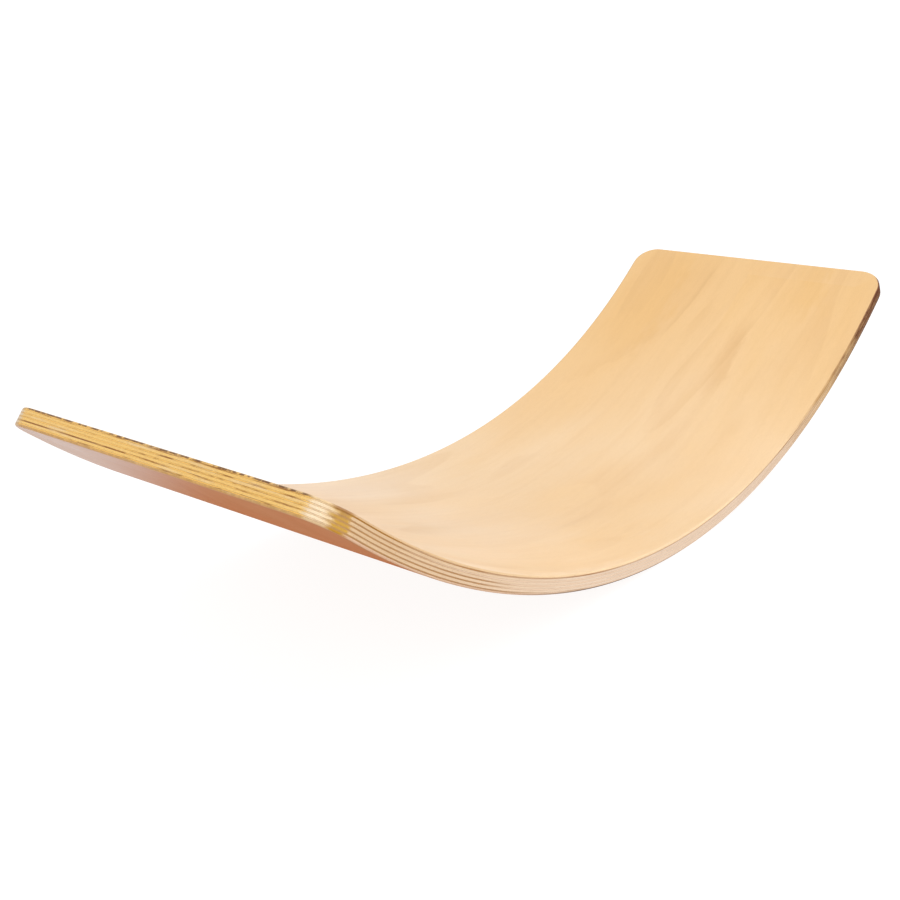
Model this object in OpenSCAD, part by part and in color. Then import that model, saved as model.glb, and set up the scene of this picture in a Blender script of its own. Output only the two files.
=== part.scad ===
// Curved balance board: a rocker of bent plywood, pressed from veneers over one round mould.
// Thick pale veneers run along the board and thin dark crossbands lie between them, with a
// film of adhesive in every joint. The whole edge is sanded to an eased arris on both faces.
// Frame: the origin is on the floor under the middle of the rocker, +X runs along the board,
// +Y across it and +Z up out of the hollow face. All lengths are millimetres.

/* [Board] */
// Length of the board, measured along its hollow top face
board_l = 950; // [700:5:1200]
// Width of the board
board_w = 300; // [200:5:420]
// Radius of the mould that presses the hollow top face
top_radius = 680; // [500:5:1200]
// Straight run at each end, from the end of the bend to the start of the corner rounding
flat_run = 5; // [2:1:60]
// Radius of the four rounded corners, seen square to the board
corner_r = 25; // [10:1:80]
// Radius of the eased arris along both faces
edge_r = 2; // [0.5:0.1:4]

/* [Lay-up] */
// Number of dark crossbands, with one pale veneer on each side of every one
crossband_count = 5; // [2:1:8]
// Thickness of the two outer face veneers
face_t = 1.35; // [0.8:0.05:2.5]
// Thickness of each dark crossband
crossband_t = 0.78; // [0.5:0.02:2]
// Thickness of each pale inner veneer
core_t = 1.6; // [0.8:0.05:2.5]
// Thickness of the adhesive film in each joint
film_t = 0.1; // [0.05:0.01:0.2]

/* [Hidden] */
$fn = 96;
// Segments in a full turn of the large bend
bend_fn = 720;

core_count = crossband_count - 1;
film_count = 2 * crossband_count;
board_t = 2 * face_t + crossband_count * crossband_t + core_count * core_t + film_count * film_t;
// One crossband, one inner veneer and the two films between them
lay_pitch = crossband_t + core_t + 2 * film_t;
// An arris never takes more than a third of the board from each face
arris_r = min(edge_r, board_t / 3);

rocker_radius = top_radius + board_t;
bend_l = board_l - 2 * (flat_run + corner_r);
bend_angle = bend_l / top_radius * 180 / PI;
// Angle by which each half of the bend runs past the middle before it is trimmed there
middle_lap = 1;

// Depth of the upper side of crossband i below the hollow face, counted from 1 at the top
function crossband_depth(i) = face_t + film_t + (i - 1) * lay_pitch;
function core_depth(i) = crossband_depth(i) + crossband_t + film_t;
// Films 1, 3, 5... lie on the crossbands and films 2, 4, 6... lie under them
function film_depth(i) =
    i % 2 == 1 ? crossband_depth((i + 1) / 2) - film_t : crossband_depth(i / 2) + crossband_t;

// Section of the whole board with its eased arrises, standing on y = 0
module eased_section(half_width) {
    translate([arris_r - half_width, 0]) square([2 * (half_width - arris_r), board_t]);
    translate([-half_width, arris_r]) square([2 * half_width, board_t - 2 * arris_r]);
    for (side = [-1, 1], height = [arris_r, board_t - arris_r]) {
        translate([side * (half_width - arris_r), height]) circle(arris_r);
    }
}

// One layer's share of the section right across the board
module cross_section(low, high) {
    intersection() {
        eased_section(board_w / 2);
        translate([-board_w / 2, low]) square([board_w, high - low]);
    }
}

// One layer's share of the section from a corner's centre out to the rim
module rim_section(low, high) {
    intersection() {
        eased_section(corner_r);
        translate([0, low]) square([corner_r, high - low]);
    }
}

// The layer from the end of the bend to just past the board's middle, before it is tilted up
module half_bend(low, high) {
    translate([0, 0, rocker_radius])
        rotate([90, 0, 0])
            rotate([0, 0, -90])
                rotate_extrude(angle = bend_angle / 2 + middle_lap, $fn = bend_fn)
                    translate([rocker_radius, 0]) rotate(90) cross_section(low, high);
}

// The layer in one straight end, before it is tilted up: the run, the end rim and the corners
module tail(low, high) {
    corner_y = board_w / 2 - corner_r;
    rotate([90, 0, 90]) linear_extrude(flat_run) cross_section(low, high);
    translate([flat_run, corner_y, 0])
        rotate([90, 0, 0]) linear_extrude(2 * corner_y) rim_section(low, high);
    for (side = [0, 1]) {
        mirror([0, side, 0])
            translate([flat_run, corner_y, 0]) rotate_extrude(angle = 90) rim_section(low, high);
    }
}

// One half of a layer, tilted up into place and trimmed at the board's middle plane
module half_layer(low, high) {
    intersection() {
        translate([0, 0, rocker_radius])
            rotate([0, bend_angle / 2, 0])
                translate([0, 0, -rocker_radius]) {
                    half_bend(low, high);
                    mirror([1, 0, 0]) tail(low, high);
                }
        translate([-board_l, -board_w, -board_l]) cube([board_l, 2 * board_w, 3 * board_l]);
    }
}

// One layer of the board, given its depth below the hollow face and its thickness
module layer(depth, thickness) {
    high = board_t - depth;
    low = high - thickness;
    for (end = [0, 1]) mirror([end, 0, 0]) half_layer(low, high);
}

module top_face_veneer() {
    color([0.95, 0.80, 0.57]) layer(0, face_t);
}

module crossband_veneer(i) {
    color([0.66, 0.44, 0.24]) layer(crossband_depth(i), crossband_t);
}

module core_veneer(i) {
    color([0.96, 0.84, 0.63]) layer(core_depth(i), core_t);
}

module adhesive_film(i) {
    color([0.30, 0.17, 0.09]) layer(film_depth(i), film_t);
}

module bottom_face_veneer() {
    color([0.93, 0.78, 0.58]) layer(board_t - face_t, face_t);
}

top_face_veneer();
for (i = [1:crossband_count]) {
    crossband_veneer(i);
}
for (i = [1:core_count]) {
    core_veneer(i);
}
for (i = [1:film_count]) {
    adhesive_film(i);
}
bottom_face_veneer();
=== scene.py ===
"""Looks of the curved balance board: bent plywood with a sanded edge under a satin lacquer.

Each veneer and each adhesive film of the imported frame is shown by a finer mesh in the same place,
with its own procedural finish. A plain pale floor, soft lights and a camera complete the scene.
All lengths are metres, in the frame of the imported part.
"""

import logging
import math
from collections.abc import Mapping
from dataclasses import dataclass
from enum import Enum
from typing import NamedTuple

import bpy
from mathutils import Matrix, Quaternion, Vector, noise


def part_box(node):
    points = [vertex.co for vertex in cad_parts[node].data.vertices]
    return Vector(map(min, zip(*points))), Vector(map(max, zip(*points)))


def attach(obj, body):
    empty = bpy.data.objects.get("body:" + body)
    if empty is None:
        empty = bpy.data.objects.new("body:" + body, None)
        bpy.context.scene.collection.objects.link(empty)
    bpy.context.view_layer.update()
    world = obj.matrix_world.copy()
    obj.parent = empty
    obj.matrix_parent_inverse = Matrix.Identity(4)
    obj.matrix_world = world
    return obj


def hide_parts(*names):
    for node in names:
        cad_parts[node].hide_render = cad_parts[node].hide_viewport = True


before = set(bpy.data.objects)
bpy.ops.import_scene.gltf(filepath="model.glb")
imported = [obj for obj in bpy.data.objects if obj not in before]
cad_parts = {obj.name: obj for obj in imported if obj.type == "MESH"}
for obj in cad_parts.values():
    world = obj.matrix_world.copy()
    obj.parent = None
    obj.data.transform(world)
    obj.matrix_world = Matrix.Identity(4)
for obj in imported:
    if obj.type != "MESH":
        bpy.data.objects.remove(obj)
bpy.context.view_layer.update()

LOG = logging.getLogger("balance_board")

Triple = tuple[float, float, float]
Colour = Triple
Socket = bpy.types.NodeSocket
Feed = Socket | float | Triple
Layer = tuple[Feed, ...]
GridPoint = tuple[int, int]
Station = tuple[float, float]


def screen(*channels: int) -> Colour:
    """Turns a screen colour into the linear values that shaders take, by the sRGB curve.

    Args:
        *channels: Red, green and blue, from 0 to 255.

    Returns:
        The same colour as linear light, from 0 to 1.
    """
    shares = (channel / 255 for channel in channels)
    return tuple(c / 12.92 if c < 0.04045 else ((c + 0.055) / 1.055) ** 2.4 for c in shares)


class Slot(Enum):
    """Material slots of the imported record."""

    FACE = "face_veneer"
    CORE = "core_veneer"
    CROSSBAND = "crossband_veneer"
    FILM = "adhesive_film"


class Side(Enum):
    """The two broad faces of the board."""

    HOLLOW = "hollow"
    ROCKER = "rocker"


class Grain(Enum):
    """Which way the fibres of a veneer run: along the board or across it."""

    ALONG = 0.0
    ACROSS = 1.0


@dataclass(frozen=True)
class BoardShape:
    """The pressed board as a whole: its bend, its outline and its eased arris."""

    length: float = 0.950
    width: float = 0.300
    thickness: float = 0.014
    hollow_radius: float = 0.680
    flat_run: float = 0.005
    corner_radius: float = 0.025
    arris_radius: float = 0.002
    station_gap: float = 0.008
    columns: int = 13
    corner_steps: int = 10
    arris_steps: int = 8

    @property
    def rocker_radius(self) -> float:
        """Radius of the convex face, which is also the height of the bend's axis."""
        return self.hollow_radius + self.thickness

    @property
    def corner_along(self) -> float:
        """How far from the middle of the length the corners have their centres."""
        return self.length / 2 - self.corner_radius

    @property
    def corner_across(self) -> float:
        """How far from the middle of the width the corners have their centres."""
        return self.width / 2 - self.corner_radius

    @property
    def half_bend(self) -> float:
        """Length of one half of the bend along the hollow face."""
        return self.corner_along - self.flat_run

    @property
    def half_angle(self) -> float:
        """Angle of one half of the bend, in radians."""
        return self.half_bend / self.hollow_radius

    def place(self, along: float, across: float, depth: float) -> Vector:
        """Bends a point of the flat board into its place.

        Args:
            along: Distance from the middle, measured along the hollow face.
            across: Distance from the middle of the width.
            depth: Distance below the hollow face.

        Returns:
            The point in the part's frame.
        """
        angle = max(-self.half_angle, min(self.half_angle, along / self.hollow_radius))
        run = along - angle * self.hollow_radius
        radius = self.hollow_radius + depth
        x = radius * math.sin(angle) + run * math.cos(angle)
        z = self.rocker_radius - radius * math.cos(angle) + run * math.sin(angle)
        return Vector((x, across, z))

    def inset(self, depth: float) -> float:
        """Gives how far the eased arris draws the rim in.

        Args:
            depth: Distance below the hollow face.

        Returns:
            Distance in from the board's full outline.
        """
        from_face = max(min(depth, self.thickness - depth), 0.0)
        rise = max(self.arris_radius - from_face, 0.0)
        return self.arris_radius - math.sqrt(self.arris_radius**2 - rise**2)

    def rim_depths(self, upper: float, lower: float) -> list[float]:
        """Lists the depths at which one layer's rim has a ring of points.

        Args:
            upper: Depth of the layer's upper side.
            lower: Depth of its lower side.

        Returns:
            Both sides and the steps of the arris between them, from the top down.
        """
        turns = (math.pi / 2 * step / self.arris_steps for step in range(self.arris_steps + 1))
        steps = [self.arris_radius * (1 - math.cos(turn)) for turn in turns]
        both = steps + [self.thickness - step for step in steps]
        return [upper, *sorted(depth for depth in both if upper < depth < lower), lower]

    def stations(self) -> list[Station]:
        """Lists the lines across the board that its mesh has.

        Returns:
            For each line, the centre that it belongs to along the board, and how far round the
            corner it lies, from minus to plus a quarter turn.
        """
        bends = math.ceil(2 * self.half_bend / self.station_gap)
        middle = [self.half_bend * (2 * step / bends - 1) for step in range(bends + 1)]
        turns = [math.pi / 2 * step / self.corner_steps for step in range(self.corner_steps + 1)]
        near = [(-self.corner_along, -turn) for turn in reversed(turns)]
        far = [(self.corner_along, turn) for turn in turns]
        return near + [(along, 0.0) for along in middle] + far


class Sanding(NamedTuple):
    """How far sanding took a layer's rim in, and how far that varies along the rim."""

    recess: float
    ripple: float


# Crossbands lie furthest in
SANDING = {
    Slot.FACE: Sanding(recess=0.000005, ripple=0.000020),
    Slot.CORE: Sanding(recess=0.000010, ripple=0.000030),
    Slot.CROSSBAND: Sanding(recess=0.000050, ripple=0.000060),
    Slot.FILM: Sanding(recess=0.000030, ripple=0.000020),
}


@dataclass
class Ply:
    """One layer of the lay-up: a closed mesh between two depths, and its finish."""

    node: str
    upper: float
    lower: float
    shape: BoardShape
    slot: Slot
    ripple_length: float = 0.045
    crease_degrees: float = 35.0

    @property
    def finish_key(self) -> Slot | Side:
        """What the layer's finish is filed under: its side for a face veneer, or else its slot."""
        face = Side.ROCKER if self.upper else Side.HOLLOW
        return face if self.slot is Slot.FACE else self.slot

    def sanded_in(self, along: float, across: float) -> float:
        """Gives how far sanding took this layer's rim in at one place.

        Args:
            along: Place along the board.
            across: Place across the board.

        Returns:
            Distance in from the eased rim, never negative.
        """
        recess, ripple = SANDING[self.slot]
        where = Vector((along, across, 0.0)) / self.ripple_length
        layer_shift = Vector((0.0, 0.0, self.lower / recess))
        swell = 0.5 + 0.5 * noise.noise(where + layer_shift)
        return recess + ripple * max(0.0, min(1.0, swell))

    def point(self, station: Station, column: int, depth: float) -> Vector:
        """Places one point of the mesh.

        Args:
            station: Line across the board, as the shape lists it.
            column: Place on that line, counted from the near edge.
            depth: Distance below the hollow face.

        Returns:
            The point in the part's frame.
        """
        centre, turn = station
        share = 2 * column / (self.shape.columns - 1) - 1
        inset = self.shape.inset(depth) + self.sanded_in(centre, share * self.shape.width / 2)
        radius = self.shape.corner_radius - inset
        along = centre + radius * math.sin(turn)
        half_width = self.shape.corner_across + radius * math.cos(turn)
        return self.shape.place(along, share * half_width, depth)

    def rim_points(self, stations: int) -> list[GridPoint]:
        """Walks once round the rim of the grid.

        Args:
            stations: Number of lines across the board.

        Returns:
            Each rim point's line and column, in order.
        """
        last_line = stations - 1
        last_column = self.shape.columns - 1
        start = [(0, column) for column in range(last_column)]
        far_side = [(line, last_column) for line in range(last_line)]
        end = [(last_line, column) for column in range(last_column, 0, -1)]
        near_side = [(line, 0) for line in range(last_line, 0, -1)]
        return start + far_side + end + near_side

    def build(self) -> bpy.types.Object:
        """Builds the layer's mesh.

        Returns:
            The new object, linked to the scene.
        """
        stations = self.shape.stations()
        columns = self.shape.columns
        rim = self.rim_points(len(stations))
        points: list[Vector] = []
        rings: list[list[int]] = []
        faces: list[tuple[int, ...]] = []
        for depth in self.shape.rim_depths(self.upper, self.lower):
            first = len(points)
            if depth in (self.upper, self.lower):
                points += [self.point(line, column, depth) for line in stations for column in range(columns)]
                rings.append([first + line * columns + column for line, column in rim])
                faces += self.cap(first, len(stations), depth == self.upper)
            else:
                points += [self.point(stations[line], column, depth) for line, column in rim]
                rings.append(list(range(first, len(points))))
        for high, low in zip(rings, rings[1:]):
            for here in range(len(rim)):
                onward = (here + 1) % len(rim)
                faces.append((high[here], high[onward], low[onward], low[here]))
        mesh = bpy.data.meshes.new(self.node + "_mesh")
        mesh.from_pydata(points, [], faces)
        return self.finish_mesh(mesh)

    def cap(self, first: int, lines: int, facing_up: bool) -> list[tuple[int, ...]]:
        """Covers one side of the layer with quads.

        Args:
            first: Index of the side's first point.
            lines: Number of lines across the board.
            facing_up: Whether the side is the upper one.

        Returns:
            The faces, all turned outwards.
        """
        columns = self.shape.columns
        faces = []
        for line in range(lines - 1):
            for column in range(columns - 1):
                corner = first + line * columns + column
                quad = (corner, corner + columns, corner + columns + 1, corner + 1)
                faces.append(quad if facing_up else quad[::-1])
        return faces

    def finish_mesh(self, mesh: bpy.types.Mesh) -> bpy.types.Object:
        """Shades a mesh as a sanded sheet and puts it in the scene.

        Args:
            mesh: The layer's mesh.

        Returns:
            The object that holds it.
        """
        mesh.shade_smooth()
        mesh.set_sharp_from_angle(angle=math.radians(self.crease_degrees))
        piece = bpy.data.objects.new("dressed_" + self.node, mesh)
        bpy.context.scene.collection.objects.link(piece)
        weighted = piece.modifiers.new("even_shading", "WEIGHTED_NORMAL")
        weighted.keep_sharp = True
        return piece

    def dress(self, piece: bpy.types.Object, finish: bpy.types.Material) -> None:
        """Gives the piece its finish and hangs it on the frame.

        Args:
            piece: The layer's object.
            finish: Its material.
        """
        piece.data.materials.append(finish)
        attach(piece, "root")
        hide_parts(self.node)


class Slope(NamedTuple):
    """A smooth change from one result to another, between two values, that stops at both ends."""

    low: float
    high: float
    start: float = 0.0
    end: float = 1.0


@dataclass(frozen=True)
class Pattern:
    """A soft random pattern: its swells per metre each way, its contrast and its fineness."""

    swells: Triple
    contrast: Slope = Slope(0.3, 0.7)
    detail: float = 3.0
    roughness: float = 0.6


class Wiring:
    """Adds nodes to one shader tree and joins them up."""

    def __init__(self, tree: bpy.types.NodeTree) -> None:
        """Keeps the tree that is wired."""
        self.tree = tree

    def node(self, kind: str, feeds: Mapping[str | int, Feed] | None = None,
             **settings: object) -> bpy.types.Node:
        """Adds one node.

        Args:
            kind: Blender's name for the node.
            feeds: What goes into its sockets, by name or number.
            **settings: Its own properties.

        Returns:
            The new node.
        """
        made = self.tree.nodes.new(kind)
        for key, value in settings.items():
            setattr(made, key, value)
        for key, value in (feeds or {}).items():
            self.feed(made.inputs[key], value)
        return made

    def feed(self, socket: Socket, value: Feed) -> None:
        """Links a socket to another one, or sets it to a constant.

        Args:
            socket: The socket that takes the value.
            value: A socket, a number, or a colour or vector.
        """
        if isinstance(value, Socket):
            self.tree.links.new(value, socket)
        elif socket.type == "RGBA":
            socket.default_value = (*value, 1.0)
        else:
            socket.default_value = value

    def calc(self, operation: str, *values: Feed) -> Socket:
        """Adds a Math node on the values and gives its result."""
        return self.node("ShaderNodeMath", dict(enumerate(values)), operation=operation).outputs[0]

    def times(self, product: Feed, *factors: Feed) -> Feed:
        """Multiplies a value by each factor in turn."""
        for factor in factors:
            product = self.calc("MULTIPLY", product, factor)
        return product

    def vector(self, x: Feed, y: Feed, z: Feed) -> Socket:
        """Joins three values into a vector."""
        return self.node("ShaderNodeCombineXYZ", {"X": x, "Y": y, "Z": z}).outputs[0]

    def ease(self, value: Feed, slope: Slope) -> Socket:
        """Takes a value up or down a slope."""
        feeds = dict(zip(("Value", "From Min", "From Max", "To Min", "To Max"), (value, *slope)))
        return self.node("ShaderNodeMapRange", feeds, interpolation_type="SMOOTHSTEP").outputs[0]

    def window(self, value: Feed, rise: Slope, fall: Slope) -> Socket:
        """Takes a value up one slope and down another."""
        return self.times(self.ease(value, rise), self.ease(value, fall))

    def lay(self, under: Feed, over: Feed, *shares: Feed) -> Socket:
        """Lays one colour over another.

        Args:
            under: The lower colour.
            over: The upper colour.
            *shares: Factors of how much of the upper colour shows.

        Returns:
            The blended colour.
        """
        mixed = self.node("ShaderNodeMix", data_type="RGBA")
        self.feed(mixed.inputs[0], self.times(*shares))
        self.feed(mixed.inputs[6], under)
        self.feed(mixed.inputs[7], over)
        return mixed.outputs[2]

    def pile(self, under: Feed, *layers: Layer) -> Feed:
        """Lays colours over one another, from the lowest up.

        Args:
            under: The lowest colour.
            *layers: The others, each with its shares.

        Returns:
            The blended colour.
        """
        for layer in layers:
            under = self.lay(under, *layer)
        return under

    def noise(self, spot: Feed, pattern: Pattern) -> Socket:
        """Draws a pattern without its contrast.

        Args:
            spot: The place.
            pattern: The pattern.

        Returns:
            Its value there, from 0 to 1.
        """
        stretch = {0: spot, 1: pattern.swells}
        vector = self.node("ShaderNodeVectorMath", stretch, operation="MULTIPLY").outputs[0]
        fineness = {"Scale": 1.0, "Detail": pattern.detail, "Roughness": pattern.roughness}
        return self.node("ShaderNodeTexNoise", {"Vector": vector, **fineness}).outputs[0]

    def mottle(self, spot: Feed, pattern: Pattern) -> Socket:
        """Draws a pattern with its contrast."""
        return self.ease(self.noise(spot, pattern), pattern.contrast)


class Effect:
    """A shader effect that several finishes share, built once as a node group."""

    title = ""
    takes: tuple[str, ...] = ()
    gives: tuple[str, ...] = ()

    def __init__(self, shape: BoardShape) -> None:
        """Builds the node group for one board.

        Args:
            shape: The board that the effect lies on.
        """
        self.shape = shape
        self.tree = bpy.data.node_groups.new(self.title, "ShaderNodeTree")
        for way, names in (("INPUT", self.takes), ("OUTPUT", self.gives)):
            for name in names:
                self.tree.interface.new_socket(name, in_out=way, socket_type="NodeSocketFloat")
        self.w = Wiring(self.tree)
        incoming = self.w.node("NodeGroupInput").outputs if self.takes else {}
        self.taken = [incoming[name] for name in self.takes]
        self.w.node("NodeGroupOutput", dict(zip(self.gives, self.wire())))

    def wire(self) -> tuple[Socket, ...]:
        """Wires the effect; each kind of effect has its own way.

        Returns:
            One socket for each name in gives, in the same order.
        """
        raise NotImplementedError


class SheetPlace(Effect):
    """Where a point lies on the board as if it were unbent."""

    title = "sheet place"
    gives = ("Along", "Across", "Depth")

    def wire(self) -> tuple[Socket, ...]:
        """Unbends the board: an arc about its axis, and a straight run past each end of it.

        Returns:
            Distances along the board, across it and below its hollow face.
        """
        w = self.w
        spot = w.node("ShaderNodeTexCoord").outputs["Object"]
        x, across, z = w.node("ShaderNodeSeparateXYZ", {0: spot}).outputs
        below_axis = w.calc("SUBTRACT", self.shape.rocker_radius, z)
        raw_angle = w.calc("ARCTAN2", x, below_axis)
        limit = self.shape.half_angle
        angle = w.node("ShaderNodeClamp", {0: raw_angle, 1: -limit, 2: limit}).outputs[0]
        sine = w.calc("SINE", angle)
        cosine = w.calc("COSINE", angle)
        run = w.calc("SUBTRACT", w.times(x, cosine), w.times(below_axis, sine))
        radius = w.calc("MULTIPLY_ADD", x, sine, w.times(below_axis, cosine))
        along = w.calc("MULTIPLY_ADD", angle, self.shape.hollow_radius, run)
        return along, across, w.calc("SUBTRACT", radius, self.shape.hollow_radius)


class RimPlace(Effect):
    """Where a point lies against the outline of the board."""

    title = "rim place"
    takes = ("Along", "Across")
    gives = ("Inset", "Turn")

    def wire(self) -> tuple[Socket, ...]:
        """Measures the distance in from the rounded outline, and the turn of the rim round a corner.

        Returns:
            The distance in from the outline, and a share that is 0 on a long edge and 1 on an end.
        """
        w = self.w
        centres = (self.shape.corner_along, self.shape.corner_across)
        past = [w.calc("SUBTRACT", w.calc("ABSOLUTE", way), at) for way, at in zip(self.taken, centres)]
        out_along, out_across = (w.calc("MAXIMUM", distance, 0.0) for distance in past)
        squares = w.calc("MULTIPLY_ADD", out_along, out_along, w.times(out_across, out_across))
        within = w.calc("MINIMUM", w.calc("MAXIMUM", *past), 0.0)
        reach = w.calc("ADD", w.calc("SQRT", squares), within)
        inset = w.calc("SUBTRACT", self.shape.corner_radius, reach)
        turn = w.calc("ARCTAN2", out_along, out_across)
        return inset, w.calc("DIVIDE", turn, math.pi / 2)


class Fibres(Effect):
    """The wood's own fibres as a solid pattern: streaks along them and pores at their cut ends."""

    title = "wood fibres"
    takes = ("Along", "Across", "Depth", "Turned")
    gives = ("Streak", "Fibre", "Pore")

    streak = Pattern((22.0, 420.0, 900.0))
    fibre = Pattern((90.0, 2600.0, 2600.0), detail=2.0, roughness=0.55)
    pore = Pattern((330.0, 4200.0, 4200.0), Slope(0.64, 0.74), detail=1.0, roughness=0.5)

    def wire(self) -> tuple[Socket, ...]:
        """Draws patterns that are long in the direction of the fibres and fine the other two ways.

        Returns:
            Broad streaks, fine fibres and open pores, each from 0 to 1.
        """
        w = self.w
        along, across, depth, turned = self.taken
        swap = w.calc("SUBTRACT", across, along)
        lengthways = w.calc("MULTIPLY_ADD", swap, turned, along)
        crossways = w.calc("SUBTRACT", w.calc("ADD", along, across), lengthways)
        solid = w.vector(lengthways, crossways, depth)
        return tuple(w.mottle(solid, pattern) for pattern in (self.streak, self.fibre, self.pore))


class Figure(Effect):
    """The figure of a peeled veneer: slow bands, flame lines and soft streaks."""

    title = "veneer figure"
    takes = ("Along", "Across", "Leaf")
    gives = ("Band", "Flame", "Streak", "Tint")

    wander = Pattern((2.4, 3.0, 1.0), detail=1.0, roughness=0.5)
    wander_reach = 0.09
    band = Pattern((3.1, 17.0, 1.0), Slope(0.36, 0.66), detail=4.0)
    rings = Pattern((1.3, 6.0, 2.0), detail=2.0, roughness=0.5)
    ring_count = 9.0
    ring_rise = Slope(0.35, 0.95)
    ring_fall = Slope(0.95, 1.0, 1.0, 0.0)
    patches = Pattern((7.0, 15.0, 5.0), Slope(0.42, 0.64), detail=2.0, roughness=0.5)
    streak = Pattern((6.5, 120.0, 3.0), Slope(0.42, 0.74), detail=4.0)
    tint = Pattern((3.2, 6.0, 4.0), Slope(0.34, 0.66), detail=2.0, roughness=0.5)

    def wire(self) -> tuple[Socket, ...]:
        """Draws the figure of one leaf of veneer, with its fibres along the board.

        Returns:
            Broad bands, thin flame lines, soft streaks and a slow tint, each from 0 to 1.
        """
        w = self.w
        along, across, leaf = self.taken
        spot = w.vector(along, across, leaf)
        wander = w.calc("SUBTRACT", w.noise(spot, self.wander), 0.5)
        leaning = w.vector(along, w.calc("MULTIPLY_ADD", wander, self.wander_reach, across), leaf)
        phase = w.calc("FRACT", w.times(w.noise(leaning, self.rings), self.ring_count))
        lines = w.window(phase, self.ring_rise, self.ring_fall)
        flame = w.times(lines, w.mottle(spot, self.patches))
        return w.mottle(leaning, self.band), flame, w.mottle(leaning, self.streak), w.mottle(spot, self.tint)


class GrowthMark(Effect):
    """One soft mark that the tree left in the veneer, long and narrow along the fibres."""

    title = "growth mark"
    takes = ("Along", "Across", "Centre Along", "Centre Across", "Half Length", "Half Width", "Lean")
    gives = ("Mark",)

    ragged = Pattern((26.0, 85.0, 50.0), detail=4.0, roughness=0.62)
    side_raggedness = 1.6
    tip_raggedness = 0.7
    tips = Slope(0.35, 1.0, 1.0, 0.0)
    crisp_side = Slope(-1.0, -0.55)
    soft_side = Slope(-0.4, 1.3, 1.0, 0.0)

    def wire(self) -> tuple[Socket, ...]:
        """Draws a leaning, ragged oval that is crisp on its near side and soft on the other.

        Returns:
            The mark, from 0 to 1.
        """
        w = self.w
        along, across, centre_along, centre_across, half_length, half_width, lean = self.taken
        ragged = w.calc("SUBTRACT", w.noise(w.vector(along, across, centre_along), self.ragged), 0.5)
        off_along = w.calc("SUBTRACT", along, centre_along)
        ridge = w.calc("MULTIPLY_ADD", off_along, lean, centre_across)
        length_share = w.calc("DIVIDE", off_along, half_length)
        width_share = w.calc("DIVIDE", w.calc("SUBTRACT", across, ridge), half_width)
        torn = w.calc("MULTIPLY_ADD", ragged, self.side_raggedness, width_share)
        from_middle = w.calc("ABSOLUTE", w.calc("MULTIPLY_ADD", ragged, self.tip_raggedness, length_share))
        sides = w.window(torn, self.crisp_side, self.soft_side)
        return (w.times(w.ease(from_middle, self.tips), sides),)


class ScorchAndShade(Effect):
    """Browning of the sawn edge towards one end of each long edge: partly scorching, partly painted shade.
    """

    title = "edge browning and painted shade"
    takes = ("Along", "Across", "Depth", "Turn")
    gives = ("Browning And Shade",)

    scorch_shade_travel = Slope(0.09, 0.47)
    uneven = Pattern((35.0, 35.0, 160.0), Slope(0.25, 0.75, 0.72, 1.1))
    # The painted shade and scorching are weaker on the far long edge
    far_edge_weaker = Slope(-0.05, 0.05, 1.0, 0.55)
    on_side = Slope(0.3, 0.8, 1.0, 0.0)

    def wire(self) -> tuple[Socket, ...]:
        """Browns each long edge towards one of its corners, as scorching and painted shade.

        Returns:
            How brown the edge is, from 0 to 1.
        """
        w = self.w
        along, across, depth, turn = self.taken
        travel = w.times(along, w.calc("SIGN", across), -1.0)
        uneven = w.mottle(w.vector(along, across, depth), self.uneven)
        side = w.times(w.ease(across, self.far_edge_weaker), w.ease(turn, self.on_side))
        # Painted shade with scorching: each long edge darkens towards one end
        return (w.times(w.ease(travel, self.scorch_shade_travel), uneven, side),)


class ArrisStain(Effect):
    """Dark dashes along the eased arris of the two ends, where open end grain drank the first coat."""

    title = "arris stain"
    takes = ("Along", "Across", "Inset", "Turn")
    gives = ("Stain",)

    dashes = Pattern((150.0, 150.0, 1.0), Slope(0.38, 0.56), detail=4.0, roughness=0.7)
    # The end at +X drank less
    fading = Slope(-0.3, 0.3, 1.0, 0.6)
    on_arris = Slope(0.0006, 0.0017, 1.0, 0.0)
    on_end = Slope(0.75, 0.95)

    def wire(self) -> tuple[Socket, ...]:
        """Draws broken dashes on the rounding of the end edges.

        Returns:
            How dark the arris is, from 0 to 1.
        """
        w = self.w
        along, across, inset, turn = self.taken
        dashes = w.times(w.mottle(w.vector(along, across, 0.0), self.dashes), w.ease(along, self.fading))
        return (w.times(dashes, w.ease(inset, self.on_arris), w.ease(turn, self.on_end)),)


class Lacquer(Effect):
    """A satin lacquer that lies a little unevenly."""

    title = "satin lacquer"
    takes = ("Along", "Across", "Depth", "Base", "Spread", "Build")
    gives = ("Roughness", "Coat", "Level")

    patches = Pattern((9.0, 14.0, 20.0), Slope(0.3, 0.7, -0.5, 0.5), detail=4.0)
    thinning = Slope(0.25, 0.75, 1.0, 0.75)
    peel = Pattern((420.0, 420.0, 420.0), detail=1.0, roughness=0.5)

    def wire(self) -> tuple[Socket, ...]:
        """Varies the gloss in soft patches round its base and gives the coat's faint orange peel.

        Returns:
            Roughness, coat weight and the height of the coat.
        """
        w = self.w
        along, across, depth, base, spread, build = self.taken
        spot = w.vector(along, across, depth)
        patches = w.noise(spot, self.patches)
        roughness = w.calc("MULTIPLY_ADD", w.ease(patches, self.patches.contrast), spread, base)
        return roughness, w.times(build, w.ease(patches, self.thinning)), w.noise(spot, self.peel)


Effects = Mapping[type[Effect], bpy.types.NodeTree]


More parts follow.
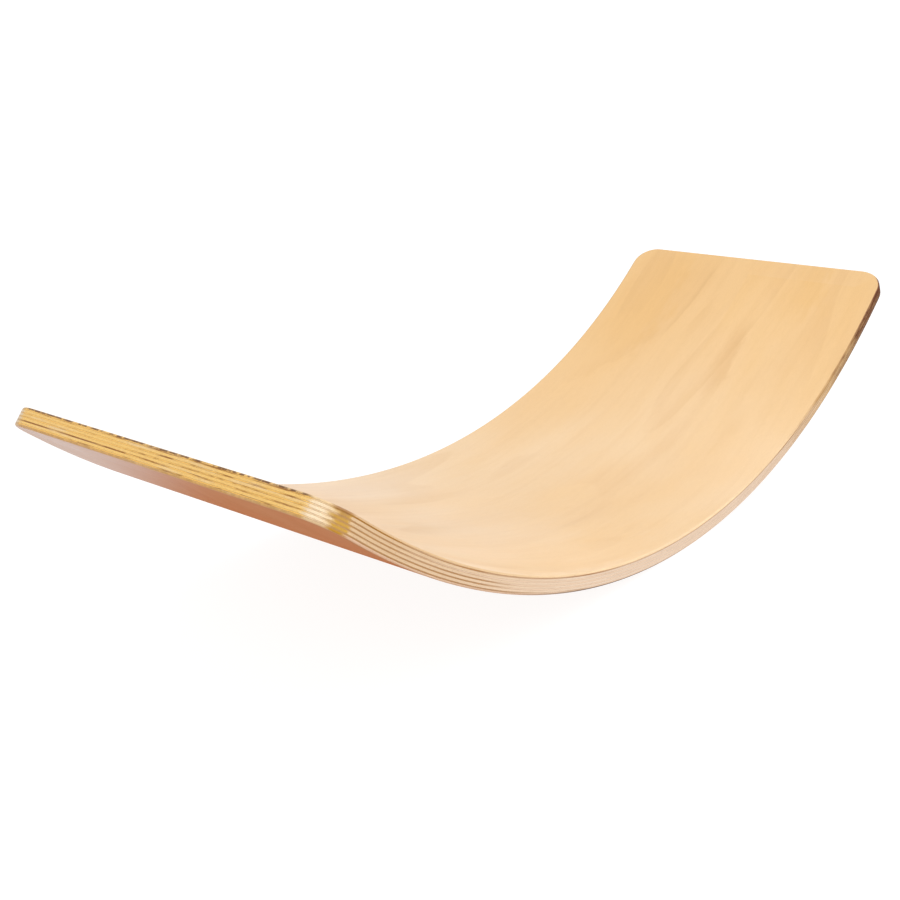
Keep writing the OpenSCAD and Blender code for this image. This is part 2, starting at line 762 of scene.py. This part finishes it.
class Surface:
    """What every finish works from: a material with its shader, and the place on the board."""

    def __init__(self, name: str, effects: Effects) -> None:
        """Starts a material with a Principled shader.

        Args:
            name: Name of the material.
            effects: The node groups of the shared effects.
        """
        self.effects = effects
        self.material = bpy.data.materials.new(name)
        self.material.use_nodes = True
        self.material.node_tree.nodes.clear()
        self.w = Wiring(self.material.node_tree)
        self.shader = self.w.node("ShaderNodeBsdfPrincipled")
        self.w.node("ShaderNodeOutputMaterial", {"Surface": self.shader.outputs[0]})
        self.place: dict[str, Socket] = {}
        for kind in (SheetPlace, RimPlace):
            self.place.update(self.effect(kind).items())
        self.along, self.across, self.depth, self.inset, self.turn = self.place.values()
        # Browning of the long edges: partly scorching, partly painted shade
        self.scorch_and_shade = self.effect(ScorchAndShade)["Browning And Shade"]

    def effect(self, kind: type[Effect], **feeds: Feed) -> bpy.types.bpy_prop_collection:
        """Places a shared effect and tells it the place on the board, as far as it takes that.

        Args:
            kind: The effect.
            **feeds: Its other inputs, with spaces in their names written as underscores. One that
                names a part of the place stands in for it.

        Returns:
            The outputs, by name.
        """
        placed = self.w.node("ShaderNodeGroup", node_tree=self.effects[kind])
        known = {name: socket for name, socket in self.place.items() if name in placed.inputs}
        given = {name.replace("_", " "): value for name, value in feeds.items()}
        for name, value in (known | given).items():
            self.w.feed(placed.inputs[name], value)
        return placed.outputs

    def shade(self, **feeds: Feed) -> None:
        """Feeds the shader's own sockets, with spaces in their names written as underscores."""
        for name, value in feeds.items():
            self.w.feed(self.shader.inputs[name.replace("_", " ")], value)

    def bump(self, height: Feed, distance: float, strength: float, under: Feed | None = None) -> Socket:
        """Turns a height into a normal.

        Args:
            height: The height, from 0 to 1.
            distance: What a height of 1 measures.
            strength: How much of it shows.
            under: A normal that this one lies on.

        Returns:
            The bumped normal.
        """
        made = self.w.node("ShaderNodeBump", {"Height": height, "Distance": distance, "Strength": strength})
        if under is not None:
            self.w.feed(made.inputs["Normal"], under)
        return made.outputs[0]


@dataclass(frozen=True, kw_only=True)
class Finish:
    """Finish of one kind of layer."""

    name: str
    peel_depth: float = 0.00002

    def material(self, effects: Effects) -> bpy.types.Material:
        """Makes the finish as a material.

        Args:
            effects: The node groups of the shared effects.

        Returns:
            The material.
        """
        surface = Surface(self.name, effects)
        self.paint(surface)
        return surface.material

    def paint(self, surface: Surface) -> None:
        """Paints the surface; each kind of finish has its own way."""
        raise NotImplementedError


@dataclass(frozen=True, kw_only=True)
class VeneerFinish(Finish):
    """Finish of one kind of veneer, with its fibres, cut edges, scorching with painted shade, and lacquer.
    """

    grain: Grain
    long_edge: Colour
    soaked_corner: Colour
    pale_rub_and_highlight: Colour
    end_edge: Colour
    dark_streak: Colour
    toasted_and_shaded: Colour
    pore_and_scorch_shade: Colour
    streak_share: float
    fibre_share: float = 0.16
    pore_share: float = 0.45
    soak_reach: float
    roughness: float = 0.42
    roughness_spread: float = 0.14
    scorch_shade_dulling: float = 0.5
    build: float = 0.9
    coat_ior: float = 1.75
    coat_roughness: float = 0.2
    wood_ior: float = 1.46
    bare_gloss: float = 0.05
    relief_depth: float = 0.00005
    relief_strength: float = 0.5
    peel_strength: float = 0.25

    # Over the turn of a corner, from the long edge to the end
    soak_turn: Slope = Slope(0.06, 0.22)
    dark_band_rise: Slope = Slope(0.14, 0.32)
    dark_band_fall: Slope = Slope(0.38, 0.48, 1.0, 0.0)
    rub_and_highlight_turn: Slope = Slope(0.38, 0.52)
    end_turn: Slope = Slope(0.78, 0.92)
    ragged_turn: Pattern = Pattern((90.0, 90.0, 420.0), Slope(0.3, 0.7, -0.05, 0.05))
    # Over the distance from the board's middle, and over the depth
    soak_along: Slope = Slope(0.10, 0.46)
    dark_band_depth: Slope = Slope(0.001, 0.009, 0.60, 0.05)
    rubbed_patches: Pattern = Pattern((24.0, 24.0, 260.0), Slope(0.48, 0.70, 0.0, 0.55))
    # Over the scorching and painted shade
    toast_and_shade: Slope = Slope(0.0, 0.6)
    char_and_shade: Slope = Slope(0.5, 0.9, 0.0, 0.95)
    coat_loss: Slope = Slope(0.0, 0.6, 1.0, 0.0)

    def edge_colour(self, surface: Surface) -> Socket:
        """Colours the sawn edge: long side, corner and end, with fibres, pores, and scorching with painted
        shade.

        A corner has a lacquer-soaked patch next to the long side and a paler one next to the end, partly
        rubbed wood and partly a painted highlight.

        Args:
            surface: The material's surface.

        Returns:
            The colour of the edge.
        """
        w = surface.w
        spot = w.vector(surface.along, surface.across, surface.depth)
        fibres = surface.effect(Fibres, Turned=self.grain.value)
        turn = w.calc("ADD", surface.turn, w.mottle(spot, self.ragged_turn))
        near_corner = w.times(w.ease(w.calc("ABSOLUTE", surface.along), self.soak_along), self.soak_reach)
        dark_band = w.window(turn, self.dark_band_rise, self.dark_band_fall)
        end = w.lay(self.end_edge, self.pale_rub_and_highlight, w.mottle(spot, self.rubbed_patches))
        return w.pile(
            self.long_edge,
            (self.soaked_corner, w.calc("MAXIMUM", w.ease(turn, self.soak_turn), near_corner)),
            # A darker brown band across each corner, strongest near the upper arris
            (self.dark_streak, dark_band, w.ease(surface.depth, self.dark_band_depth)),
            # Painted highlight with rubbed wood: the corner pales next to the end
            (self.pale_rub_and_highlight, w.ease(turn, self.rub_and_highlight_turn)),
            (end, w.ease(turn, self.end_turn)),
            (self.dark_streak, fibres["Streak"], self.streak_share),
            (self.dark_streak, fibres["Fibre"], self.fibre_share),
            (self.pore_and_scorch_shade, fibres["Pore"], self.pore_share),
            # Painted shade with scorching: brown, then near black, towards one end of each long edge
            (self.toasted_and_shaded, w.ease(surface.scorch_and_shade, self.toast_and_shade)),
            (self.pore_and_scorch_shade, w.ease(surface.scorch_and_shade, self.char_and_shade)),
        )

    def coat(self, surface: Surface, fullness: Feed, relief: Feed) -> None:
        """Lacquers the surface and gives it its relief; where the edge browns as scorching and painted shade
        it stays dull.

        Args:
            surface: The material's surface.
            fullness: How much of the finish's coat is left, from 0 to 1.
            relief: Height of the wood's own texture, from 0 to 1.
        """
        w = surface.w
        gloss = {"Base": self.roughness, "Spread": self.roughness_spread}
        lacquer = surface.effect(Lacquer, Build=w.times(fullness, self.build), **gloss)
        grain_normal = surface.bump(relief, self.relief_depth, self.relief_strength)
        surface.shade(
            Roughness=w.calc("MULTIPLY_ADD", surface.scorch_and_shade, self.scorch_shade_dulling, lacquer["Roughness"]),
            IOR=self.wood_ior, Specular_IOR_Level=self.bare_gloss,
            Coat_Weight=lacquer["Coat"], Coat_Roughness=self.coat_roughness, Coat_IOR=self.coat_ior,
            Normal=surface.bump(lacquer["Level"], self.peel_depth, self.peel_strength, grain_normal),
        )

    def paint(self, surface: Surface) -> None:
        """Paints a layer of which only the sawn edge shows.

        Args:
            surface: The material's surface.
        """
        surface.shade(Base_Color=self.edge_colour(surface))
        fibres = surface.effect(Fibres, Turned=self.grain.value)
        self.coat(surface, surface.w.ease(surface.scorch_and_shade, self.coat_loss), fibres["Fibre"])


@dataclass(frozen=True, kw_only=True)
class CrossbandFinish(VeneerFinish):
    """Finish of a crossband: it pales in the middle of the long edges and in broken runs on the ends."""

    pale_band: Colour
    pale_end: Colour
    # Over the distance from the board's middle, which sways
    darkening: Slope = Slope(0.16, 0.40, 0.0, 0.85)
    sway: Pattern = Pattern((9.0, 9.0, 700.0), Slope(0.3, 0.7, -0.16, 0.16))
    # Over the depth: the topmost crossband is darker, and the fourth shows more on the far half
    topmost: Slope = Slope(0.0024, 0.0038, 0.48, 0.0)
    topmost_favour: float = 0.12
    fourth_rise: Slope = Slope(0.0082, 0.0090)
    fourth_fall: Slope = Slope(0.0102, 0.0110, 1.0, 0.0)
    fourth_favour: Slope = Slope(0.0, 1.0, -0.07, 0.11)
    far_half: Slope = Slope(-0.04, 0.05)
    runs: Pattern = Pattern((40.0, 40.0, 700.0), Slope(0.44, 0.60), detail=5.0, roughness=0.7)
    run_turn: Slope = Slope(0.70, 0.90)

    def edge_colour(self, surface: Surface) -> Socket:
        """Fades parts of the crossband's edge.

        Args:
            surface: The material's surface.

        Returns:
            The colour of the edge.
        """
        w = surface.w
        dark = super().edge_colour(surface)
        spot = w.vector(surface.along, surface.across, surface.depth)
        reach = w.calc("ADD", w.calc("ABSOLUTE", surface.along), w.mottle(spot, self.sway))
        topmost = w.ease(surface.depth, self.topmost)
        along_share = w.calc("ADD", w.ease(reach, self.darkening), topmost)
        long_side = w.lay(self.pale_band, dark, w.calc("MINIMUM", along_share, 1.0))
        fourth = w.window(surface.depth, self.fourth_rise, self.fourth_fall)
        favour = w.times(w.ease(surface.across, self.far_half), w.ease(fourth, self.fourth_favour))
        broken = w.calc("MULTIPLY_ADD", topmost, self.topmost_favour, w.noise(spot, self.runs))
        drawn = w.ease(w.calc("ADD", broken, favour), self.runs.contrast)
        end_side = w.lay(self.pale_end, dark, drawn)
        return w.lay(long_side, end_side, w.ease(surface.turn, self.run_turn))


@dataclass(frozen=True)
class Mark:
    """Place and size of one growth mark on the hollow face, and how strongly it shows."""

    along: float
    across: float
    half_length: float
    half_width: float
    lean: float
    share: float


@dataclass(frozen=True, kw_only=True)
class FaceFinish(VeneerFinish):
    """Finish of a face veneer: figured on its broad side, sawn at its rim."""

    leaf: float
    pale: Colour
    honey: Colour
    flame: Colour
    rosy: Colour
    straw: Colour
    stain: Colour
    stain_share: float
    marks: tuple[Mark, ...] = ()
    honey_marks: tuple[Mark, ...] = ()
    contact_shadow: Colour = (0.0, 0.0, 0.0)
    contact_shadow_share: float = 0.0
    contact_shadow_along: float = -0.13
    coat_ior: float = 1.5
    bare_gloss: float = 0.5
    relief_depth: float = 0.00003
    tint_share: float = 0.40
    band_share: float = 0.22
    flame_share: float = 0.16
    soft_streak_share: float = 0.10
    face_fibre_share: float = 0.07
    face_pore_share: float = 0.18

    # Along the board, where the ground turns from rosy to straw and then to pale
    straw_along: Slope = Slope(-0.34, 0.02)
    pale_along: Slope = Slope(0.06, 0.47)
    # Over the distance in from the outline
    rim: Slope = Slope(0.0008, 0.0021, 1.0, 0.0)
    coat_gain: Slope = Slope(0.0006, 0.0024, 0.1, 1.0)
    # Over the distance from the middle of the painted contact shadow
    contact_shadow_fade: Slope = Slope(0.03, 0.17, 1.0, 0.0)

    def drawn(self, surface: Surface, marks: tuple[Mark, ...], colour: Colour) -> list[Layer]:
        """Draws growth marks of one colour.

        Args:
            surface: The material's surface.
            marks: The marks.
            colour: Their colour.

        Returns:
            One layer for each mark.
        """
        layers = []
        for mark in marks:
            outputs = surface.effect(
                GrowthMark, Centre_Along=mark.along, Centre_Across=mark.across,
                Half_Length=mark.half_length, Half_Width=mark.half_width, Lean=mark.lean,
            )
            layers.append((colour, outputs["Mark"], mark.share))
        return layers

    def face_colour(self, surface: Surface) -> Socket:
        """Colours the broad side with the veneer's figure.

        Args:
            surface: The material's surface.

        Returns:
            The colour of the face.
        """
        w = surface.w
        figure = surface.effect(Figure, Leaf=self.leaf)
        fibres = surface.effect(Fibres, Depth=0.0)
        return w.pile(
            self.rosy,
            (self.straw, w.ease(surface.along, self.straw_along)),
            (self.pale, w.ease(surface.along, self.pale_along)),
            (self.honey, figure["Tint"], self.tint_share),
            (self.honey, figure["Band"], self.band_share),
            *self.drawn(surface, self.honey_marks, self.honey),
            (self.flame, figure["Flame"], self.flame_share),
            (self.flame, figure["Streak"], self.soft_streak_share),
            *self.drawn(surface, self.marks, self.flame),
            (self.dark_streak, fibres["Fibre"], self.face_fibre_share),
            (self.dark_streak, fibres["Pore"], self.face_pore_share),
        )

    def paint(self, surface: Surface) -> None:
        """Paints a face veneer, with stain and a painted contact shadow on its rim.

        Args:
            surface: The material's surface.
        """
        w = surface.w
        rim = w.ease(surface.inset, self.rim)
        off_contact_shadow = w.calc("ABSOLUTE", w.calc("SUBTRACT", surface.along, self.contact_shadow_along))
        surface.shade(Base_Color=w.pile(
            self.face_colour(surface),
            (self.edge_colour(surface), rim),
            (self.stain, surface.effect(ArrisStain)["Stain"], self.stain_share),
            # Painted contact shadow: dark grey on the lower rim beside where the board touches the floor
            (self.contact_shadow, rim, w.ease(off_contact_shadow, self.contact_shadow_fade), self.contact_shadow_share),
        ))
        fibres = surface.effect(Fibres, Depth=0.0)
        self.coat(surface, w.ease(surface.inset, self.coat_gain), fibres["Fibre"])


@dataclass(frozen=True, kw_only=True)
class FilmFinish(Finish):
    """Finish of the cured adhesive: a hard amber line with small starved gaps."""

    amber: Colour
    pale: Colour
    starved_share: float = 0.6
    roughness: float = 0.35
    roughness_spread: float = 0.1
    peel_strength: float = 0.3

    def paint(self, surface: Surface) -> None:
        """Paints an adhesive film.

        Args:
            surface: The material's surface.
        """
        w = surface.w
        starved = w.lay(self.amber, self.pale, surface.effect(Fibres)["Streak"], self.starved_share)
        lacquer = surface.effect(Lacquer, Base=self.roughness, Spread=self.roughness_spread)
        surface.shade(
            # Where the long edges brown with scorching and painted shade, the film turns amber throughout
            Base_Color=w.lay(starved, self.amber, surface.scorch_and_shade), Roughness=lacquer["Roughness"],
            Normal=surface.bump(lacquer["Level"], self.peel_depth, self.peel_strength),
        )


def hollow_face_finish() -> FaceFinish:
    """Describes the veneer of the hollow face: straw to honey, with the marks that the tree left."""
    return FaceFinish(
        name="hollow_face_veneer", grain=Grain.ALONG, leaf=3.7,
        pale=screen(231, 192, 136), honey=screen(226, 181, 114), flame=screen(202, 154, 98),
        rosy=screen(252, 229, 203), straw=screen(231, 199, 155),
        long_edge=screen(232, 202, 156), soaked_corner=screen(166, 118, 46),
        pale_rub_and_highlight=screen(228, 200, 152), end_edge=screen(236, 191, 106),
        dark_streak=screen(150, 104, 56), toasted_and_shaded=screen(178, 138, 84), pore_and_scorch_shade=screen(94, 40, 14),
        stain=screen(98, 58, 18), stain_share=0.95,
        streak_share=0.20, soak_reach=0.40, roughness=0.40, build=0.45,
        marks=(
            Mark(0.305, -0.033, 0.085, 0.012, 0.10, 0.30),
            Mark(0.120, -0.042, 0.120, 0.013, 0.03, 0.10),
            Mark(-0.060, -0.055, 0.140, 0.015, 0.12, 0.08),
            Mark(0.395, 0.050, 0.080, 0.004, -0.12, 0.25),
            Mark(0.290, 0.092, 0.080, 0.014, -0.50, 0.12),
        ),
        honey_marks=(
            Mark(0.390, 0.110, 0.130, 0.048, 0.00, 0.55),
            Mark(0.445, -0.070, 0.070, 0.030, 0.00, 0.45),
            Mark(-0.140, -0.118, 0.180, 0.036, 0.00, 0.35),
        ),
    )


def rocker_face_finish() -> FaceFinish:
    """Describes the veneer of the convex face: a little rosier, with a painted contact shadow on its rim."""
    return FaceFinish(
        name="rocker_face_veneer", grain=Grain.ALONG, leaf=11.3,
        pale=screen(236, 198, 158), honey=screen(226, 178, 132), flame=screen(204, 152, 110),
        rosy=screen(238, 200, 164), straw=screen(236, 199, 160),
        long_edge=screen(246, 216, 190), soaked_corner=screen(200, 150, 24),
        pale_rub_and_highlight=screen(234, 208, 164), end_edge=screen(234, 188, 110),
        dark_streak=screen(172, 122, 76), toasted_and_shaded=screen(182, 144, 94), pore_and_scorch_shade=screen(88, 50, 30),
        stain=screen(92, 46, 18), stain_share=0.22, contact_shadow=screen(84, 70, 68), contact_shadow_share=0.85,
        streak_share=0.20, soak_reach=0.15, roughness=0.50, build=1.0,
    )


def core_finish() -> VeneerFinish:
    """Describes the thick, pale inner veneers."""
    return VeneerFinish(
        name="core_veneer", grain=Grain.ALONG,
        long_edge=screen(229, 209, 186), soaked_corner=screen(196, 150, 20),
        pale_rub_and_highlight=screen(236, 212, 168), end_edge=screen(246, 202, 110),
        dark_streak=screen(160, 114, 60), toasted_and_shaded=screen(196, 164, 116), pore_and_scorch_shade=screen(86, 34, 8),
        streak_share=0.18, soak_reach=0.47,
    )


def crossband_finish() -> CrossbandFinish:
    """Describes the thin, dark crossbands."""
    return CrossbandFinish(
        name="crossband_veneer", grain=Grain.ACROSS,
        pale_band=screen(223, 198, 170), pale_end=screen(238, 190, 102),
        long_edge=screen(158, 104, 48), soaked_corner=screen(184, 134, 16),
        pale_rub_and_highlight=screen(226, 196, 148), end_edge=screen(164, 110, 46),
        dark_streak=screen(126, 84, 44), toasted_and_shaded=screen(158, 118, 68), pore_and_scorch_shade=screen(70, 27, 6),
        streak_share=0.4, soak_reach=0.5, roughness=0.5, build=0.35,
    )


def film_finish() -> FilmFinish:
    """Describes the cured adhesive between the veneers."""
    return FilmFinish(name="adhesive_film", amber=screen(120, 78, 44), pale=screen(200, 154, 104))


@dataclass(frozen=True)
class LayUp:
    """The plywood itself: face veneers, inner veneers, crossbands and the films that join them."""

    shape: BoardShape

    def plies(self) -> list[Ply]:
        """Reads the order and the depths of the layers from the frame.

        Returns:
            The layers, from the hollow face down.
        """
        lowest = {node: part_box(node)[0].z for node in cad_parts}
        found = []
        upper = 0.0
        for node in sorted(lowest, key=lowest.get, reverse=True):
            slot = next(s for s in Slot if s.value.split("_")[0] in node)
            lower = self.shape.thickness - lowest[node]
            found.append(Ply(node, upper, lower, self.shape, slot))
            upper = lower
        return found

    def finishes(self) -> dict[Slot | Side, bpy.types.Material]:
        """Makes one material for each kind of layer.

        Returns:
            The materials: by side for the two face veneers, and by slot for the rest.
        """
        described = {
            Side.HOLLOW: hollow_face_finish(),
            Side.ROCKER: rocker_face_finish(),
            Slot.CORE: core_finish(),
            Slot.CROSSBAND: crossband_finish(),
            Slot.FILM: film_finish(),
        }
        effects = {kind: kind(self.shape).tree for kind in Effect.__subclasses__()}
        return {key: finish.material(effects) for key, finish in described.items()}

    def build(self) -> None:
        """Builds and dresses every layer."""
        finishes = self.finishes()
        for ply in self.plies():
            piece = ply.build()
            ply.dress(piece, finishes[ply.finish_key])
            thickness_mm = (ply.lower - ply.upper) * 1000
            LOG.info("%s: %d faces, %.2f mm thick", piece.name, len(piece.data.polygons), thickness_mm)


@dataclass(frozen=True)
class SoftLight:
    """One soft, distant light that covers a wide patch of the studio's ceiling or wall."""

    name: str
    source: Triple
    strength: float
    spread_degrees: float

    def build(self) -> bpy.types.Object:
        """Hangs the light.

        Returns:
            The light's object.
        """
        lamp = bpy.data.lights.new(self.name, "SUN")
        lamp.energy = self.strength
        lamp.angle = math.radians(self.spread_degrees)
        made = bpy.data.objects.new(self.name, lamp)
        made.location = self.source
        made.rotation_mode = "QUATERNION"
        made.rotation_quaternion = (-Vector(self.source)).to_track_quat("-Z", "Y")
        bpy.context.scene.collection.objects.link(made)
        return made


@dataclass(frozen=True)
class Studio:
    """Pale floor, soft lights, and a surround that is even above and has warm and pale zones below."""

    lights: tuple[SoftLight, ...] = (
        SoftLight("key_light", (-0.71, -0.32, 0.63), 1.23, 48.0),
        SoftLight("right_light", (0.80, -0.25, 0.80), 1.00, 70.0),
        SoftLight("fill_light", (0.50, -0.80, 0.20), 0.82, 120.0),
    )
    floor_half: float = 60.0
    floor_shade: Colour = (0.14, 0.14, 0.14)
    floor_roughness: float = 0.8
    floor_glow: float = 0.89
    ceiling: Colour = (0.70, 0.70, 0.72)
    bounce: Colour = (0.46, 0.36, 0.28)
    bounce_front: Colour = (1.00, 0.89, 0.83)
    bounce_back: Colour = (0.85, 0.78, 0.78)
    warm_patch: Colour = (0.50, 0.11, 0.02)
    warm_towards: Triple = (0.56, 0.66, -0.49)
    warm_degrees: float = 14.0
    warm_fade_degrees: float = 30.0
    backdrop: Colour = (1.1, 1.1, 1.1)
    # Over the parts of a direction that point to the back and upwards
    front_end: Slope = Slope(-0.55, -0.35)
    back_start: Slope = Slope(0.71, 0.80)
    horizon: Slope = Slope(-0.12, 0.08)

    def build(self) -> None:
        """Builds the floor, the surround and the lights."""
        self.floor()
        self.world()
        for light in self.lights:
            LOG.info("light: %s", light.build().name)

    def floor(self) -> bpy.types.Object:
        """Lays the floor under the board.

        Returns:
            The floor's object.
        """
        half = self.floor_half
        corners = [(-half, -half, 0.0), (half, -half, 0.0), (half, half, 0.0), (-half, half, 0.0)]
        mesh = bpy.data.meshes.new("floor_mesh")
        mesh.from_pydata(corners, [], [(0, 1, 2, 3)])
        made = bpy.data.objects.new("floor", mesh)
        bpy.context.scene.collection.objects.link(made)
        material = bpy.data.materials.new("pale_floor")
        material.use_nodes = True
        shader = material.node_tree.nodes["Principled BSDF"]
        shader.inputs["Base Color"].default_value = (*self.floor_shade, 1.0)
        shader.inputs["Roughness"].default_value = self.floor_roughness
        shader.inputs["Emission Color"].default_value = (1.0, 1.0, 1.0, 1.0)
        shader.inputs["Emission Strength"].default_value = self.floor_glow
        mesh.materials.append(material)
        made.visible_diffuse = False
        made.visible_glossy = False
        return made

    def world(self) -> None:
        """Sets the light that comes from all round: even above, with warm and pale zones below."""
        world = bpy.data.worlds.new("bright_surround")
        world.use_nodes = True
        w = Wiring(world.node_tree)
        shade = world.node_tree.nodes["Background"]
        direction = w.node("ShaderNodeTexCoord").outputs["Generated"]
        _, towards_back, height = w.node("ShaderNodeSeparateXYZ", {0: direction}).outputs
        sides = {0: direction, 1: Vector(self.warm_towards).normalized()}
        facing = w.node("ShaderNodeVectorMath", sides, operation="DOT_PRODUCT").outputs["Value"]
        turns = (self.warm_fade_degrees, self.warm_degrees)
        patch = Slope(*(math.cos(math.radians(turn)) for turn in turns))
        w.feed(shade.inputs["Color"], w.pile(
            self.bounce_front,
            (self.bounce, w.ease(towards_back, self.front_end)),
            (self.warm_patch, w.ease(facing, patch)),
            (self.bounce_back, w.ease(towards_back, self.back_start)),
            (self.ceiling, w.ease(height, self.horizon)),
            (self.backdrop, w.node("ShaderNodeLightPath").outputs["Is Camera Ray"]),
        ))
        bpy.context.scene.world = world


@dataclass(frozen=True)
class PhotoCamera:
    """Camera at the place from which the photograph shows the board."""

    place: Triple = (-0.8420, -0.5373, 0.3901)
    aim: Triple = (-0.0715, 0.0580, 0.0600)
    lens: float = 45.83
    sensor: float = 36.0
    roll_degrees: float = 0.224

    def build(self) -> bpy.types.Object:
        """Sets the camera up as the scene's own.

        Returns:
            The camera's object.
        """
        data = bpy.data.cameras.new("photo_camera")
        data.lens = self.lens
        data.sensor_width = self.sensor
        made = bpy.data.objects.new("photo_camera", data)
        sight = (Vector(self.aim) - Vector(self.place)).to_track_quat("-Z", "Y")
        made.rotation_mode = "QUATERNION"
        made.rotation_quaternion = sight @ Quaternion((0.0, 0.0, 1.0), math.radians(self.roll_degrees))
        made.location = self.place
        bpy.context.scene.collection.objects.link(made)
        bpy.context.scene.camera = made
        return made


def main() -> None:
    """Builds the camera, the board and the studio, in that order."""
    logging.basicConfig(level=logging.INFO, format="%(name)s: %(message)s")
    LOG.info("camera: %s", PhotoCamera().build().name)
    LayUp(BoardShape()).build()
    Studio().build()
    bpy.context.scene.view_settings.view_transform = "Standard"


if __name__ == "__main__":
    main()
